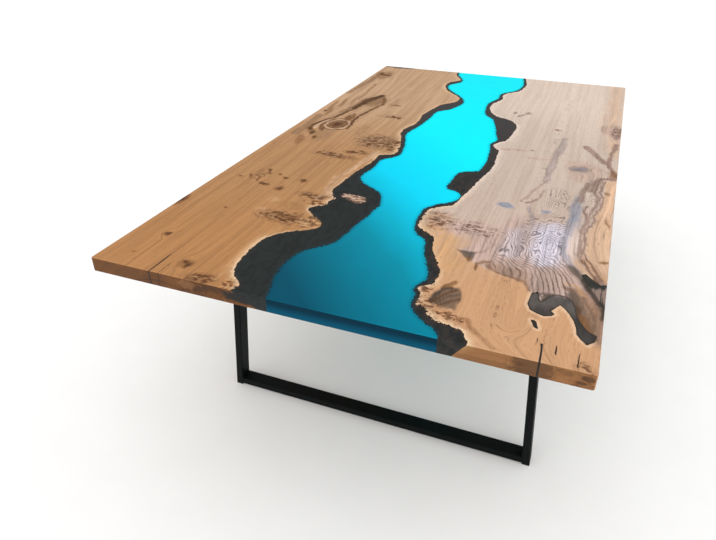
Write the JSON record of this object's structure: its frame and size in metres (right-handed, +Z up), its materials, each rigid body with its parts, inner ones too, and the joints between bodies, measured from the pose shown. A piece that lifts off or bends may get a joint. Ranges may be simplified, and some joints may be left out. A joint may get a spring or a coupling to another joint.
{
  "type": "river dining table",
  "caption": "Dining table with live-edge oak slabs cast around a blue resin river, on welded black steel frames that lean outward to the floor.",
  "frame": {"origin": "on the floor, under the middle of the top", "axes": "+X across the width to the right of someone at the near end, +Y along the length away from the near end, +Z up"},
  "size_m": [1.25, 2.3, 0.75],
  "materials": {
    "oak": "satin oiled oak with knots and burr",
    "bark": "dark bark sealed flush under clear resin",
    "blue_resin": "polished milky blue epoxy resin",
    "black_resin": "polished black epoxy resin",
    "black_steel": "fine black powder coat",
    "black_plastic": "moulded black plastic",
    "zinc_steel": "zinc plated",
    "brass": "turned brass"
  },
  "bodies": {
    "root": {"left_slab": "oak", "right_slab": "oak", "left_bark_lining": "bark", "right_bark_lining": "bark", "river_resin": "blue_resin", "heart_void_fill": "black_resin", "edge_void_fill": "black_resin", "eye_void_fill": "black_resin", "end_crack_fill": "black_resin", "near_left_post": "black_steel", "near_right_post": "black_steel", "near_foot_bar": "black_steel", "near_top_bar": "black_steel", "near_left_plate": "black_steel", "near_right_plate": "black_steel", "near_left_foot_plug": "black_plastic", "near_right_foot_plug": "black_plastic", "near_bolts": "zinc_steel", "near_washers": "zinc_steel", "near_inserts": "brass", "far_left_post": "black_steel", "far_right_post": "black_steel", "far_foot_bar": "black_steel", "far_top_bar": "black_steel", "far_left_plate": "black_steel", "far_right_plate": "black_steel", "far_left_foot_plug": "black_plastic", "far_right_foot_plug": "black_plastic", "far_bolts": "zinc_steel", "far_washers": "zinc_steel", "far_inserts": "brass"}
  },
  "joints": []
}
